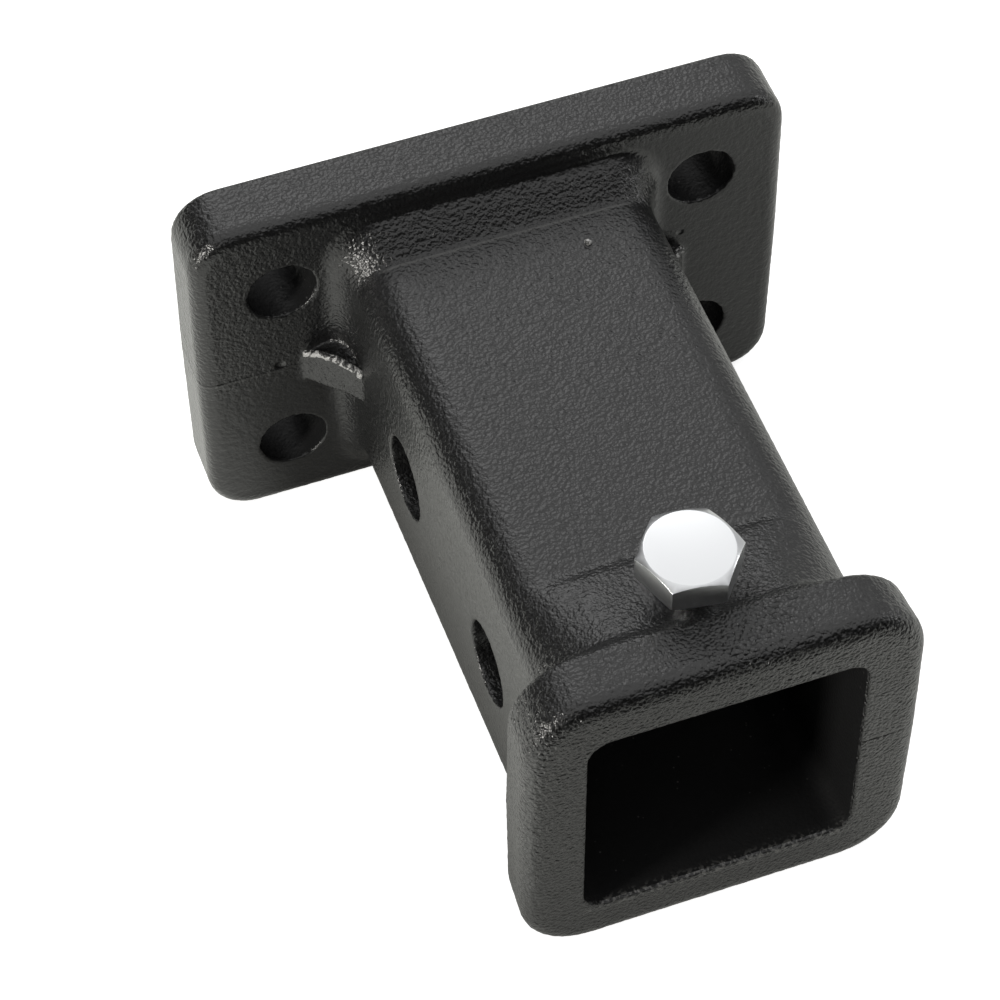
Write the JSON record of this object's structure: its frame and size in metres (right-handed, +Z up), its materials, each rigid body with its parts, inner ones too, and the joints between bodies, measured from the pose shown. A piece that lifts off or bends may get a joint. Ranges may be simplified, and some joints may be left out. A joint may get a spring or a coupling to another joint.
{
  "type": "hitch receiver adapter",
  "caption": "Cast square receiver socket on a bolt-on plate, with cross holes for a hitch pin and an anti-rattle screw in its top.",
  "frame": {"origin": "centre of the bolt pattern, on the back face of the plate", "axes": "+Y towards the vehicle, -Y along the socket to its mouth, +Z up through the anti-rattle screw, +X across the plate"},
  "size_m": [0.1216, 0.134, 0.0861],
  "materials": {
    "black_coat": "satin black powder coat over the grain of a cast surface",
    "zinc": "bright zinc plating"
  },
  "bodies": {
    "casting": {"receiver_casting": "black_coat"},
    "screw": {"anti_rattle_screw": "zinc"}
  },
  "joints": [
    {"name": "screw_feed", "type": "slide", "parent": "casting", "child": "screw", "axis": [0, 0, 1], "range_m": [-0.0015, 0.006]}
  ]
}
